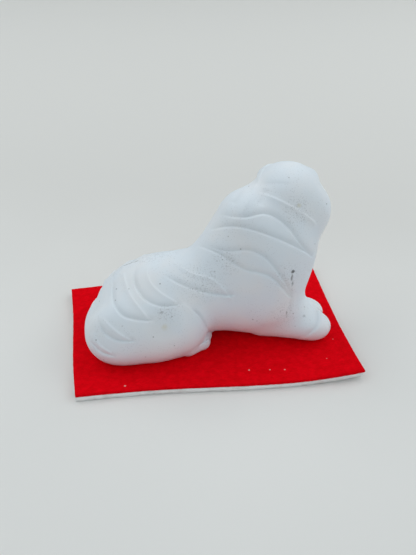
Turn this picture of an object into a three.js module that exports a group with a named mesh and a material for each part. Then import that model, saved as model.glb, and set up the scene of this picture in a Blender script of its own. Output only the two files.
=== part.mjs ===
import * as THREE from "three";

// Lying tiger with its head turned to its left, on a felt mat with a white backing.
// Millimetres; +X runs toward the head, +Y to the tiger's left, +Z up, origin under the mat's middle.

// Mat
const matLength = 100.6; // along X, over the two long edges
const matDepth = 66.2; // along Y
const matSkew = 2.4; // how far the right end is deeper than the left, at each corner
const edgeBow = 1.2; // the hand-cut edges wander by this much
const backingThick = 1.7;
const feltThick = 0.6;
const layerGap = 0.3; // between two pieces that touch

// Tiger; the sizes after its length are those of a figure 88 long and grow with it
const figureLength = 88; // from the rump to the paw's tip
const midY = 0; // its middle plane over the mat
const haunchSpread = 12.2; // from the middle plane to the middle of a haunch
const haunchHeight = 25;
const chestWidth = 28;
const neckWidth = 28.5;
const headWidth = 25;
const cheekSpan = 31; // over both cheeks
const headTurn = 75; // degrees to its left
const headNod = -14; // degrees up from level; it looks down a little
const earHeight = 4;
const pawWidth = 12.5;
const pawHeight = 9.9;
const tailThick = 7;
const valleyDeep = 0.5; // of the carved lines
const crestHigh = 0.25;
const slowSide = 2.7; // width of a line's gentle side
const fastSide = 1.1; // and of its steep side
const sheetLean = 35; // degrees that the lay-out sheet of the stripes leans back
const sheetTurn = 9.5; // degrees that it is turned toward the rump

// Skin
const gridStep = 0.66;
const skinTriangles = 9300;

const { abs, max, min, sqrt, cos, sin, hypot } = Math;
const radians = (degrees) => (degrees * Math.PI) / 180;

// An ellipsoid about a centre, turned by roll, pitch and yaw
function egg([x0, y0, z0], [a, b, c], turn = [0, 0, 0]) {
  const [roll, pitch, yaw] = turn.map(radians);
  const [cx, sx, cy, sy] = [cos(roll), sin(roll), cos(pitch), sin(pitch)];
  const [cz, sz] = [cos(yaw), sin(yaw)];
  const [ux, uy, uz] = [cz * cy, sz * cy, -sy];
  const [vx, vy, vz] = [cz * sy * sx - sz * cx, sz * sy * sx + cz * cx, cy * sx];
  const [wx, wy, wz] = [cz * sy * cx + sz * sx, sz * sy * cx - cz * sx, cy * cx];
  const distance = (x, y, z) => {
    const px = x - x0;
    const py = y - y0;
    const pz = z - z0;
    const u = (ux * px + uy * py + uz * pz) / a;
    const v = (vx * px + vy * py + vz * pz) / b;
    const w = (wx * px + wy * py + wz * pz) / c;
    const k = sqrt(u * u + v * v + w * w);
    if (k < 1e-6) return -min(a, b, c);
    return (k * (k - 1)) / sqrt((u / a) ** 2 + (v / b) ** 2 + (w / c) ** 2);
  };
  return { x: x0, y: y0, z: z0, reach: max(a, b, c), distance };
}

// Distance from a point to a straight piece; place is how far along the nearest spot lies
const nearest = { away: 0, place: 0 };
function toPiece(x, y, z, piece) {
  const px = x - piece.x;
  const py = y - piece.y;
  const pz = z - piece.z;
  const t = max(0, min(1, (px * piece.dx + py * piece.dy + pz * piece.dz) / piece.square));
  const ax = px - piece.dx * t;
  const ay = py - piece.dy * t;
  const az = pz - piece.dz * t;
  nearest.place = t;
  nearest.away = sqrt(ax * ax + ay * ay + az * az);
}

function straight([x, y, z], to) {
  const [dx, dy, dz] = [to[0] - x, to[1] - y, to[2] - z];
  return { x, y, z, dx, dy, dz, square: dx * dx + dy * dy + dz * dz };
}

// A round limb from one point to another, with a radius at each end
function limb(from, to, fromRadius, toRadius) {
  const piece = straight(from, to);
  const [x, y, z] = from.map((v, i) => (v + to[i]) / 2);
  const distance = (px, py, pz) => {
    toPiece(px, py, pz, piece);
    return nearest.away - (fromRadius + (toRadius - fromRadius) * nearest.place);
  };
  return { x, y, z, reach: sqrt(piece.square) / 2 + max(fromRadius, toRadius), distance };
}

// A round rope through a row of points, as thick at each as its radius
function rope(points, radii) {
  const pieces = points.slice(1).map((p, i) => straight(points[i], p));
  const [x, y, z] = [0, 1, 2].map((i) => points.reduce((sum, p) => sum + p[i], 0) / points.length);
  const reach = max(...points.map((p) => hypot(p[0] - x, p[1] - y, p[2] - z))) + max(...radii);
  const distance = (px, py, pz) => {
    let least = 1e9;
    for (let i = 0; i < pieces.length; i += 1) {
      toPiece(px, py, pz, pieces[i]);
      const radius = radii[i] + (radii[i + 1] - radii[i]) * nearest.place;
      least = min(least, nearest.away - radius);
    }
    return least;
  };
  return { x, y, z, reach, distance };
}

// Least of two distances, rounded over the width k
function blend(p, q, k) {
  const h = max(k - abs(p - q), 0) / k;
  return min(p, q) - h * h * k * 0.25;
}

const withSoftness = (pairs) => pairs.map(([form, softness]) => ({ ...form, softness }));

// Joins forms in order, each blended over its own softness
function joined(forms, x, y, z) {
  let least = 1e9;
  for (let i = 0; i < forms.length; i += 1) {
    const form = forms[i];
    const px = x - form.x;
    const py = y - form.y;
    const pz = z - form.z;
    const room = form.reach + least + form.softness;
    if (room < 0 || px * px + py * py + pz * pz > room * room) continue;
    least = blend(least, form.distance(x, y, z), form.softness);
  }
  return least;
}

// The forms below stand on z = 0 about the plane y = 0, for a figure 88 long.
const trunk = [
  [egg([-19.8, -1, 14.5], [19.5, 15.5, 17], [0, -10, 0]), 1],
  [egg([-6, 0, 17], [20, 12, 14.5]), 9],
  [egg([15.5, 0, 19], [20.5, chestWidth / 2, 20]), 9],
  [egg([22, 0.5, 36], [17.5, neckWidth / 2, 17], [0, -20, 0]), 11],
  [limb([0, 0, 22], [13, 0.5, 45], 8.5, 9.5), 7],
  [egg([13.2, 0.5, 47.2], [5.5, 7, 6.5]), 5],
  [limb([25, 0.5, 13], [36, -1, 4.6], 8.6, 4.2), 4],
  [limb([22, -5, 14], [35.5, -9.8, 5.2], 9.5, 4.8), 4],
];

function haunch(side, forward) {
  const high = haunchHeight / 2;
  const hip = [-24.3 + forward, side * haunchSpread, high - 1.5];
  return [
    [egg(hip, [20.2 - forward, 8.5, high], [side * 8, 4, side * 4]), 6],
    [egg([hip[0] - 9, side * 8.5, 6.5], [11, 10.5, 9]), 4],
    [egg([hip[0] + 10, side * 11.3, 10], [11.3, 7, 12], [0, 8, side * 12]), 1.8],
    [limb([hip[0] + 15, side * 14.4, 2.7], [-4, side * 11.6, 2.6], 2.9, 2.8), 0.7],
    [limb([-4, side * 11.6, 2.6], [-1.9, side * 7.6, 2.5], 2.8, 2.2), 0.8],
  ];
}

function foreleg(side, outer, reach, high) {
  return [
    [egg([18, side * 7, 19], [12, 6.8, 15], [0, 10, 0]), 6],
    [limb([20, side * 6.8, 5.4], [reach - 5, outer, 5], 5.4, 4.6), 3],
    [egg([reach, outer, high / 2], [7.2, pawWidth / 2, high / 2 + 0.3], [0, 8, 0]), 1.8],
  ];
}

// The tail leaves the rump low down and lies round the left haunch.
function tail() {
  const thick = tailThick / 2;
  const far = haunchSpread + 8;
  const spots = [...Array(15).keys()].map((i) => i / 14);
  const points = spots.map((t) => [-40.5 + 36 * t ** 2.2, far * sin(1.9 * t ** 0.75 + 0.15), thick]);
  const radii = spots.map((t) => thick * (1 - 0.12 * t));
  return [
    [egg([-28.7, -1, 10.5], [11.6, 11, 11]), 5],
    [egg([-39, -2.5, 7.2], [5.7, 8.5, 7.8]), 4],
    [rope(points, radii), 1.5],
  ];
}

// The head in its own frame, looking along +X
const cheekAside = cheekSpan / 2 - 5.8;
const headPairs = [
  [egg([0, 0, 0.5], [12, headWidth / 2, 12]), 1],
  [egg([4.5, 0, 4], [8, 9, 6.5]), 4],
  [egg([10.5, 0, -4.8], [7, 6.6, 5.8]), 3],
  [limb([7, 0, 4.5], [14.8, 0, -1.8], 3.8, 2.6), 2.5],
  [egg([12.6, 0, -9.6], [3.7, 3.5, 2.6]), 1.5],
];
for (const side of [-1, 1]) {
  headPairs.push([egg([-0.5, side * cheekAside, -4.5], [6.5, 5.8, 7.8], [side * -10, 0, 0]), 4]);
  headPairs.push([egg([14.2, side * 3.1, -5.8], [3.9, 3.7, 3.6]), 1.2]);
  headPairs.push([egg([8.9, side * 5, 4], [3, 3.9, 2], [side * 15, 0, side * -20]), 1.5]);
  headPairs.push([egg([10, side * 4.9, 1], [2, 2.3, 1.8]), 0.5]);
  headPairs.push([egg([4.4, side * 6.9, 9.9 - earHeight], [2.2, 3.6, earHeight], [side * -24, 0, 0]), 1.6]);
}
headPairs.push([egg([16.6, 0, -2.4], [1.8, 2.6, 1.7]), 0.8]);
const headForms = withSoftness(headPairs);
const headPlace = { x: 28.5, y: 4.5, z: 49.6 };
const turned = { c: cos(radians(headTurn)), s: sin(radians(headTurn)) };
const nodded = { c: cos(radians(headNod)), s: sin(radians(headNod)) };

function headDistance(x, y, z) {
  const px = x - headPlace.x;
  const py = y - headPlace.y;
  const pz = z - headPlace.z;
  const ahead = turned.c * px + turned.s * py;
  const aside = turned.c * py - turned.s * px;
  const out = nodded.c * ahead + nodded.s * pz;
  return joined(headForms, out, aside, nodded.c * pz - nodded.s * ahead);
}

const forelegs = [...foreleg(-1, -11.5, 36.5, pawHeight), ...foreleg(1, -0.4, 37, pawHeight * 0.74)];
const legs = [...haunch(-1, 0), ...haunch(1, 3.4), ...forelegs];
const bodyForms = withSoftness([...trunk, ...legs, ...tail()]);

// The whole smooth figure, cut flat underneath
function figure(x, y, z) {
  const whole = blend(joined(bodyForms, x, y, z), headDistance(x, y, z), 4.5);
  return -blend(-whole, z, 0.6);
}

// Lines of the stripes on a lay-out sheet that leans over the tiger: millimetres to the right and
// up, from the back to the tip. A valley falls slowly on its upper side and rises fast on its
// lower side; a crest rises fast on its upper side and falls slowly on its lower side.
const valleys = [
  [[4.1, 39.5], [11.8, 38.1], [19.5, 39.4], [26.3, 35.4], [32, 28.8], [35.9, 25.7]],
  [[0.3, 34.7], [9.1, 35.2], [20.6, 32.2], [35.9, 25.9]],
  [[-2, 29.6], [5.8, 27.1], [14.1, 27.2], [20.9, 23.5], [29.2, 12.5]],
  [[-3.5, 29.5], [3.6, 26.3], [12.3, 21.1], [21.1, 18.5], [28.9, 11.5]],
  [[-14.2, 18.9], [-7.7, 15.5], [0.3, 13], [7.7, 12]],
  [[-24.6, 22.3], [-25, 17], [-21.6, 11.5], [-16, 8.8], [-10.7, 8.9]],
  [[-32.8, 18.2], [-32.4, 11], [-28.9, 5.9], [-24.6, 4.3], [-19.9, 3.8]],
  [[-37.1, 4.1], [-34.8, -0.4], [-30.7, -2.9], [-26.2, -3.3]],
  [[-40.4, -3.5], [-36.8, -7.3], [-33.1, -8.5]],
];
const crests = [
  [[16.7, 47], [24, 43.7], [31.9, 39.6], [36, 37.1]],
  [[-13.6, 24.9], [-6, 20.1], [2, 17.4], [7.4, 11.9]],
  [[-21, 22.8], [-20, 17.7], [-16.6, 13.7], [-10.7, 9.9]],
  [[-29.3, 20.5], [-26.2, 12.6], [-19.8, 4.4]],
  [[-35.6, 4.7], [-31.2, 0.6], [-26.2, -2.9]],
  [[-39.2, 0.4], [-37, -4.2], [-33, -7.3]],
];
const lean = radians(sheetLean);
const swing = radians(sheetTurn);
const sheetRight = [cos(swing), -sin(swing), 0];
const sheetUp = [sin(swing) * sin(lean), cos(swing) * sin(lean), cos(lean)];
const sheetOut = [-sin(swing) * cos(lean), -cos(swing) * cos(lean), sin(lean)];

// A smooth line through a row of points, at t from 0 to 1
function through(points, t) {
  const last = points.length - 1;
  const i = min(Math.floor(t * last), last - 1);
  const f = t * last - i;
  const [p, q, r, e] = [-1, 0, 1, 2].map((n) => points[max(0, min(last, i + n))]);
  return [0, 1].map((n) => {
    const square = 2 * p[n] - 5 * q[n] + 4 * r[n] - e[n];
    const cube = 3 * q[n] - p[n] - 3 * r[n] + e[n];
    return q[n] + ((r[n] - p[n]) * f + square * f * f + cube * f ** 3) / 2;
  });
}

// Drops a place on the sheet onto the flank; null where it passes the tiger by
function dropped([u, v], side) {
  const place = sheetRight.map((r, i) => r * u + sheetUp[i] * v);
  for (let far = 60; far > -60; ) {
    const [x, y, z] = place.map((p, i) => p + sheetOut[i] * far);
    const away = figure(x, side * y, z);
    if (away < 0.02) return [x, side * y, z];
    far -= max(0.04, away * 0.7);
  }
  return null;
}

// A carved line on one flank; its pieces are kept as if on the sheet's side, each with its way up
function carvedLine(points, side) {
  const places = [...Array(19).keys()].map((i) => dropped(through(points, i / 18), side));
  const spots = places.filter((p) => p && p[2] > 1).map(([x, y, z]) => [x, side * y, z]);
  if (spots.length < 3) return null;
  const [x, y, z] = [0, 1, 2].map((i) => spots.reduce((sum, p) => sum + p[i], 0) / spots.length);
  const reach = max(...spots.map((p) => hypot(p[0] - x, p[1] - y, p[2] - z))) + slowSide;
  const pieces = spots.slice(1).map((p, i) => {
    const part = straight(spots[i], p);
    const [ux, uy, uz] = across(sheetOut, [part.dx, part.dy, part.dz]);
    return { ...part, ux, uy, uz };
  });
  return { x, y, z, side, reach, pieces };
}

const across = (p, q) => [p[1] * q[2] - p[2] * q[1], p[2] * q[0] - p[0] * q[2], p[0] * q[1] - p[1] * q[0]];
const onFlank = (lines, side) => lines.map((line) => carvedLine(line, side)).filter((line) => line);
const cutLines = [...onFlank(valleys, 1), ...onFlank(valleys, -1)];
const raisedLines = [...onFlank(crests, 1), ...onFlank(crests, -1)];

// The strongest of some carved lines at a point, from 0 to 1; lines run out toward their start
function strongest(lines, aboveWide, belowWide, x, y, z) {
  let most = 0;
  for (let g = 0; g < lines.length; g += 1) {
    const line = lines[g];
    const py = line.side * y;
    const [dx, dy, dz] = [x - line.x, py - line.y, z - line.z];
    if (dx * dx + dy * dy + dz * dz > line.reach * line.reach) continue;
    let away = 99;
    let at = 0;
    for (let i = 0; i < line.pieces.length; i += 1) {
      toPiece(x, py, z, line.pieces[i]);
      if (nearest.away < away) {
        away = nearest.away;
        at = i + nearest.place;
      }
    }
    const piece = line.pieces[min(Math.floor(at), line.pieces.length - 1)];
    const above = (x - piece.x) * piece.ux + (py - piece.y) * piece.uy + (z - piece.z) * piece.uz > 0;
    const share = away / (above ? aboveWide : belowWide);
    if (share >= 1) continue;
    const round = sqrt(share * share + 0.015) - 0.12;
    const fade = min(1, (at + 0.5) / 4);
    most = max(most, fade * (1 - min(1, round)) ** 2);
  }
  return most;
}

function carved(x, y, z) {
  const smooth = figure(x, y, z);
  if (abs(smooth) > 1.5) return smooth;
  const cut = valleyDeep * strongest(cutLines, slowSide, fastSide, x, y, z);
  return smooth + cut - crestHigh * strongest(raisedLines, fastSide, slowSide, x, y, z);
}

const corners = [0, 1, 2, 3, 4, 5, 6, 7].map((c) => [c & 1, (c >> 1) & 1, c >> 2]);

// Whether the corners of a cell that a bit pattern marks hang together along its edges
function hangsTogether(pattern) {
  let reached = pattern & -pattern;
  for (let step = 0; step < 8; step += 1) {
    for (let c = 0; c < 8; c += 1) {
      const beside = (1 << (c ^ 1)) | (1 << (c ^ 2)) | (1 << (c ^ 4));
      if ((pattern >> c) & 1 && reached & beside) reached |= 1 << c;
    }
  }
  return reached === pattern;
}

// Whether some face of the cell has its inside corners only across a diagonal
function hasSaddle(pattern) {
  const isIn = (c) => (pattern >> c) & 1;
  return [[1, 2], [2, 4], [4, 1]].some(([u, v]) => [0, 7 ^ u ^ v].some((c) => {
    const [a, b, d, e] = [isIn(c), isIn(c ^ u ^ v), isIn(c ^ u), isIn(c ^ v)];
    return a === b && d === e && a !== d;
  }));
}

// Cells that one sheet of skin passes through
const isPlain = [...Array(256).keys()].map((pattern) => {
  if (pattern === 0 || pattern === 255) return true;
  return hangsTogether(pattern) && hangsTogether(255 ^ pattern) && !hasSaddle(pattern);
});

// The box that holds every form, with a little room round it
function roomForForms() {
  const headReach = max(...headForms.map((f) => hypot(f.x, f.y, f.z) + f.reach));
  const all = [...bodyForms, { ...headPlace, reach: headReach }];
  const room = 3 * gridStep;
  const low = ["x", "y", "z"].map((a) => min(...all.map((f) => f[a] - f.reach)) - room);
  const high = ["x", "y", "z"].map((a) => max(...all.map((f) => f[a] + f.reach)) + room);
  return { low: [low[0], low[1], -room], high };
}

// A skin over the carved figure: one point in each grid cell that its surface crosses,
// drawn onto the surface, and two triangles over each crossed grid edge
function skinOnGrid() {
  const { low, high } = roomForForms();
  const cells = high.map((h, a) => Math.ceil((h - low[a]) / gridStep));
  const nodes = cells.map((n) => n + 1);
  const nodeAt = (i, j, k) => (k * nodes[1] + j) * nodes[0] + i;
  const place = (i, j, k) => [low[0] + i * gridStep, low[1] + j * gridStep, low[2] + k * gridStep];
  const values = new Float32Array(nodes[0] * nodes[1] * nodes[2]).fill(NaN);
  const block = 4;
  const near = block * gridStep * 1.8;
  const busy = [];
  for (let k = 0; k < cells[2]; k += block) {
    for (let j = 0; j < cells[1]; j += block) {
      for (let i = 0; i < cells[0]; i += block) {
        const [x, y, z] = place(i + block / 2, j + block / 2, k + block / 2);
        if (abs(figure(x, y, z)) < near) busy.push([i, j, k]);
      }
    }
  }
  for (const [i0, j0, k0] of busy) {
    for (let k = k0; k <= min(k0 + block, cells[2]); k += 1) {
      for (let j = j0; j <= min(j0 + block, cells[1]); j += 1) {
        for (let i = i0; i <= min(i0 + block, cells[0]); i += 1) {
          const at = nodeAt(i, j, k);
          if (Number.isNaN(values[at])) values[at] = carved(...place(i, j, k)) || 1e-9;
        }
      }
    }
  }
  const cellCorners = (i, j, k) => corners.map(([a, b, c]) => nodeAt(i + a, j + b, k + c));
  const patternOf = (ats) => ats.reduce((bits, at, c) => bits | ((values[at] < 0 ? 1 : 0) << c), 0);
  const cellsOf = ([i0, j0, k0]) => {
    const found = [];
    for (let k = k0; k < min(k0 + block, cells[2]); k += 1) {
      for (let j = j0; j < min(j0 + block, cells[1]); j += 1) {
        for (let i = i0; i < min(i0 + block, cells[0]); i += 1) {
          const ats = cellCorners(i, j, k);
          const pattern = patternOf(ats);
          if (pattern !== 0 && pattern !== 255) found.push([i, j, k]);
        }
      }
    }
    return found;
  };
  // where two sheets would meet in a cell, its least certain corner changes side
  for (let round = 0, mended = 1; mended > 0 && round < 20; round += 1) {
    mended = 0;
    for (const cell of busy.flatMap(cellsOf)) {
      const ats = cellCorners(...cell);
      if (isPlain[patternOf(ats)]) continue;
      const weakest = ats.reduce((a, b) => (abs(values[b]) < abs(values[a]) ? b : a));
      values[weakest] = (values[weakest] < 0 ? 0.01 : -0.01) * (round + 1);
      mended += 1;
    }
  }
  const pointOf = new Int32Array(values.length).fill(-1);
  const points = [];
  const crossed = busy.flatMap(cellsOf);
  for (const [i, j, k] of crossed) {
    const held = cellCorners(i, j, k).map((at) => values[at]);
    const sum = [0, 0, 0];
    let cuts = 0;
    for (let p = 0; p < 8; p += 1) {
      for (const bit of [1, 2, 4]) {
        if (p & bit || held[p] < 0 === held[p | bit] < 0) continue;
        const t = held[p] / (held[p] - held[p | bit]);
        for (let a = 0; a < 3; a += 1) sum[a] += corners[p][a] + t * (corners[p | bit][a] - corners[p][a]);
        cuts += 1;
      }
    }
    pointOf[nodeAt(i, j, k)] = points.length;
    points.push(ontoSurface(place(i + sum[0] / cuts, j + sum[1] / cuts, k + sum[2] / cuts)));
  }
  const faces = [];
  const steps = [[1, 0, 0], [0, 1, 0], [0, 0, 1]];
  for (const cell of crossed) {
    for (let axis = 0; axis < 3; axis += 1) {
      const [u, v] = [steps[(axis + 1) % 3], steps[(axis + 2) % 3]];
      const end = cell.map((n, a) => n + steps[axis][a]);
      const [here, there] = [values[nodeAt(...cell)], values[nodeAt(...end)]];
      if (here < 0 === there < 0) continue;
      const drop = (ways, a) => ways.reduce((sum, way) => sum + way[a], 0);
      const back = (...ways) => pointOf[nodeAt(...cell.map((n, a) => n - drop(ways, a)))];
      const ring = [back(), back(u), back(u, v), back(v)];
      if (here > 0) ring.reverse();
      const span = (a, b) => hypot(...points[ring[a]].map((value, n) => value - points[ring[b]][n]));
      const turn = span(0, 2) > span(1, 3) ? 1 : 0;
      const [a, b, c, d] = [0, 1, 2, 3].map((n) => ring[(n + turn) % 4]);
      faces.push([a, b, c], [a, c, d]);
    }
  }
  return { points, faces };
}

// Moves a point along the slope of the distance until it lies on the carved surface
function ontoSurface(point) {
  let [x, y, z] = point;
  const e = 0.02;
  for (let i = 0; i < 2; i += 1) {
    const v = carved(x, y, z);
    const [gx, gy, gz] = [carved(x + e, y, z) - v, carved(x, y + e, z) - v, carved(x, y, z + e) - v];
    const square = gx * gx + gy * gy + gz * gz;
    const step = max(-0.3, min(0.3, v)) * (e / max(square, 1e-9));
    [x, y, z] = [x - gx * step, y - gy * step, z - gz * step];
  }
  return [x, y, max(0, z)];
}

const dot = (p, q) => p[0] * q[0] + p[1] * q[1] + p[2] * q[2];
const less = (p, q) => [p[0] - q[0], p[1] - q[1], p[2] - q[2]];
const size = (p) => sqrt(dot(p, p));

// Sum over planes of the squared distance from a point, kept as ten numbers
function planeSum(q, [x, y, z]) {
  const xs = q[0] * x * x + q[4] * y * y + q[7] * z * z + q[9];
  return xs + 2 * (q[1] * x * y + q[2] * x * z + q[3] * x + q[5] * y * z + q[6] * y + q[8] * z);
}

// The point with the least plane sum, or null where the planes don't fix one
function bestPoint(q) {
  const rows = [[q[0], q[1], q[2]], [q[1], q[4], q[5]], [q[2], q[5], q[7]]];
  const [yz, zx, xy] = [across(rows[1], rows[2]), across(rows[2], rows[0]), across(rows[0], rows[1])];
  const whole = dot(rows[0], yz);
  const scale = q[0] + q[4] + q[7];
  if (abs(whole) < 1e-4 * scale ** 3) return null;
  return [0, 1, 2].map((i) => -(yz[i] * q[3] + zx[i] * q[6] + xy[i] * q[8]) / whole);
}

// Draws edges together, the least missed first, until the skin has the wanted number of triangles
function thinned({ points, faces }, wanted) {
  const at = points.map((p) => p.slice());
  const about = at.map(() => new Set());
  const sums = at.map(() => new Float64Array(10));
  const normalOf = ([a, b, c]) => across(less(at[b], at[a]), less(at[c], at[a]));
  faces.forEach((face, f) => {
    const normal = normalOf(face);
    const weight = size(normal) || 1e-12;
    const [a, b, c] = normal.map((v) => v / weight);
    const d = -dot([a, b, c], at[face[0]]);
    const plane = [a * a, a * b, a * c, a * d, b * b, b * c, b * d, c * c, c * d, d * d];
    for (const v of face) {
      about[v].add(f);
      plane.forEach((value, i) => {
        sums[v][i] += value * weight;
      });
    }
  });
  const age = new Int32Array(at.length);
  const heap = [];
  const push = (entry) => {
    let i = heap.push(entry) - 1;
    while (i > 0) {
      const up = (i - 1) >> 1;
      if (heap[up].miss <= entry.miss) break;
      heap[i] = heap[up];
      i = up;
    }
    heap[i] = entry;
  };
  const pop = () => {
    const [top, last] = [heap[0], heap.pop()];
    if (heap.length === 0) return top;
    let i = 0;
    for (;;) {
      let down = 2 * i + 1;
      if (down >= heap.length) break;
      if (down + 1 < heap.length && heap[down + 1].miss < heap[down].miss) down += 1;
      if (heap[down].miss >= last.miss) break;
      heap[i] = heap[down];
      i = down;
    }
    heap[i] = last;
    return top;
  };
  const neighbours = (v) => {
    const found = new Set();
    for (const f of about[v]) for (const w of faces[f]) if (w !== v) found.add(w);
    return found;
  };
  const q = new Float64Array(10);
  const offer = (a, b) => {
    for (let i = 0; i < 10; i += 1) q[i] = sums[a][i] + sums[b][i];
    const [p, r] = [at[a], at[b]];
    const middle = [(p[0] + r[0]) / 2, (p[1] + r[1]) / 2, (p[2] + r[2]) / 2];
    const best = bestPoint(q);
    const length = size(less(p, r));
    const spot = best && size(less(best, middle)) < length ? best : middle;
    const miss = max(0, planeSum(q, spot)) + 1e-7 * length;
    push({ miss: length < 0.08 ? -1 : miss, a, b, spot, ages: age[a] + age[b] });
  };
  for (let v = 0; v < at.length; v += 1) for (const w of neighbours(v)) if (w > v) offer(v, w);
  const turnsOver = (v, other, spot) => {
    for (const f of about[v]) {
      const face = faces[f];
      if (face.includes(other)) continue;
      const before = normalOf(face);
      const held = at[v];
      at[v] = spot;
      const after = normalOf(face);
      const [one, two] = [size(less(at[face[0]], at[face[1]])), size(less(at[face[1]], at[face[2]]))];
      const longest = max(one, two, size(less(at[face[2]], at[face[0]])));
      at[v] = held;
      const twice = size(after);
      if (dot(before, after) < 0.35 * size(before) * twice) return true;
      if (twice < 0.12 * longest * longest) return true;
    }
    return false;
  };
  let left = faces.length;
  while (left > wanted && heap.length > 0) {
    const { miss, a, b, spot, ages } = pop();
    if (about[a].size === 0 || about[b].size === 0 || ages !== age[a] + age[b]) continue;
    const near = neighbours(a);
    if (!near.has(b)) continue;
    let shared = 0;
    for (const w of neighbours(b)) if (near.has(w)) shared += 1;
    if (shared !== 2) continue;
    if (miss >= 0 && (turnsOver(a, b, spot) || turnsOver(b, a, spot))) continue;
    for (const f of [...about[b]]) {
      const face = faces[f];
      if (face.includes(a)) {
        face.forEach((v) => about[v].delete(f));
        left -= 1;
      } else {
        face[face.indexOf(b)] = a;
        about[a].add(f);
      }
    }
    about[b].clear();
    at[a] = spot;
    sums[a] = sums[a].map((value, i) => value + sums[b][i]);
    age[a] += age[b] + 1;
    for (const w of neighbours(a)) offer(a, w);
  }
  const kept = new Set();
  about.forEach((set) => set.forEach((f) => kept.add(f)));
  return { points: at, faces: [...kept].map((f) => faces[f]) };
}

function figureGeometry() {
  const { points, faces } = thinned(skinOnGrid(), skinTriangles);
  const scale = figureLength / 88;
  const seat = backingThick + feltThick + 2 * layerGap;
  const used = new Map();
  const positions = [];
  const index = [];
  for (const v of faces.flat()) {
    if (!used.has(v)) {
      used.set(v, used.size);
      const [x, y, z] = points[v];
      positions.push(x * scale, y * scale + midY, max(0, z) * scale + seat);
    }
    index.push(used.get(v));
  }
  const geometry = new THREE.BufferGeometry();
  geometry.setAttribute("position", new THREE.Float32BufferAttribute(positions, 3));
  geometry.setIndex(index);
  geometry.computeVertexNormals();
  return geometry;
}

// The mat's hand-cut outline, wandering a little between its corners
function matGeometry(thick, low) {
  const [halfX, halfY] = [matLength / 2, matDepth / 2];
  const ends = [
    [-halfX + 0.4, -halfY + matSkew * 1.75],
    [halfX - 0.6, -halfY - matSkew / 2],
    [halfX, halfY + matSkew / 2],
    [-halfX, halfY - matSkew * 0.1],
  ];
  const wander = [
    (t) => 0.5 * sin(Math.PI * t) - 0.7 * sin(2 * Math.PI * t),
    (t) => -0.5 * sin(Math.PI * t),
    (t) => 0.2 * sin(3 * Math.PI * t),
    (t) => -0.25 * sin(2 * Math.PI * t),
  ];
  const shape = new THREE.Shape();
  const pieces = 10;
  ends.forEach(([x0, y0], side) => {
    const [x1, y1] = ends[(side + 1) % 4];
    const [ax, ay] = [x1 - x0, y1 - y0];
    const length = hypot(ax, ay);
    for (let i = 0; i < pieces; i += 1) {
      const t = i / pieces;
      const out = edgeBow * wander[side](t);
      const [x, y] = [x0 + ax * t + (ay / length) * out, y0 + ay * t - (ax / length) * out];
      if (side === 0 && i === 0) shape.moveTo(x, y);
      else shape.lineTo(x, y);
    }
  });
  const geometry = new THREE.ExtrudeGeometry(shape, { depth: thick, bevelEnabled: false });
  return geometry.translate(0, 0, low);
}

function piece(name, geometry, colour, roughness) {
  const material = new THREE.MeshStandardMaterial({ color: colour, roughness });
  material.name = name;
  const mesh = new THREE.Mesh(geometry, material);
  mesh.name = name;
  return mesh;
}

const group = new THREE.Group();
group.name = "tiger_figurine";
group.add(piece("tiger", figureGeometry(), 0xe9edf0, 0.8));
group.add(piece("mat_felt", matGeometry(feltThick, backingThick + layerGap), 0xc00018, 0.95));
group.add(piece("mat_backing", matGeometry(backingThick, 0), 0xf2f0ee, 0.9));

export default group;
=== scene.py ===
import math

import bmesh
import bpy
import numpy as np
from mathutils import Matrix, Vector


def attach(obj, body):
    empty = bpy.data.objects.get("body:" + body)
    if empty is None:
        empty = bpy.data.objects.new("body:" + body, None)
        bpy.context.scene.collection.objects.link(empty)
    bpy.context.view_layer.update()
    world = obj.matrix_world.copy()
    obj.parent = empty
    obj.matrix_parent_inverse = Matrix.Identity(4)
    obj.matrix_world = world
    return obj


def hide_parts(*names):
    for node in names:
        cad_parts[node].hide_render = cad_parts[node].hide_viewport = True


# A lying tiger of white unglazed ceramic on a red felt mat with a white backing.
# The frame is in metres. The tiger and the mat are worked out in millimetres.
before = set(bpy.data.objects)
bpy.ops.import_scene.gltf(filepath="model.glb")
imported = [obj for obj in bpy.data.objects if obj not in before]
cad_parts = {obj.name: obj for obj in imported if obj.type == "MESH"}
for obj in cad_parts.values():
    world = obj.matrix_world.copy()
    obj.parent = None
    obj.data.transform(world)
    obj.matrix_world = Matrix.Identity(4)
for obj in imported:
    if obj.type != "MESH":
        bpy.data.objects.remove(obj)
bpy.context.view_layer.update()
scene = bpy.context.scene
millimetre = 0.001
farAway = 1e9
print("frame loaded")


# Forms: each gives how far an array of places is from its surface, below 0 inside it
def turnMatrix(roll, pitch, yaw):
    cx, sx = math.cos(math.radians(roll)), math.sin(math.radians(roll))
    cy, sy = math.cos(math.radians(pitch)), math.sin(math.radians(pitch))
    cz, sz = math.cos(math.radians(yaw)), math.sin(math.radians(yaw))
    aboutX = np.array([[1, 0, 0], [0, cx, -sx], [0, sx, cx]])
    aboutY = np.array([[cy, 0, sy], [0, 1, 0], [-sy, 0, cy]])
    aboutZ = np.array([[cz, -sz, 0], [sz, cz, 0], [0, 0, 1]])
    return aboutZ @ aboutY @ aboutX


def egg(centre, half, turn=(0, 0, 0)):
    turned, half = turnMatrix(*turn), np.array(half)

    def away(places):
        shares = ((places - np.array(centre)) @ turned) / half
        reach = np.linalg.norm(shares, axis=1)
        slope = np.linalg.norm(shares / half, axis=1)
        return reach * (reach - 1) / np.maximum(slope, 1e-9)

    return away


def toPiece(places, start, end):
    # how far places are from a straight piece, and how far along it the nearest spot lies
    start, along = np.array(start), np.array(end) - np.array(start)
    t = np.clip((places - start) @ along / (along @ along), 0, 1)
    return np.linalg.norm(places - start - t[:, None] * along, axis=1), t


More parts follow.
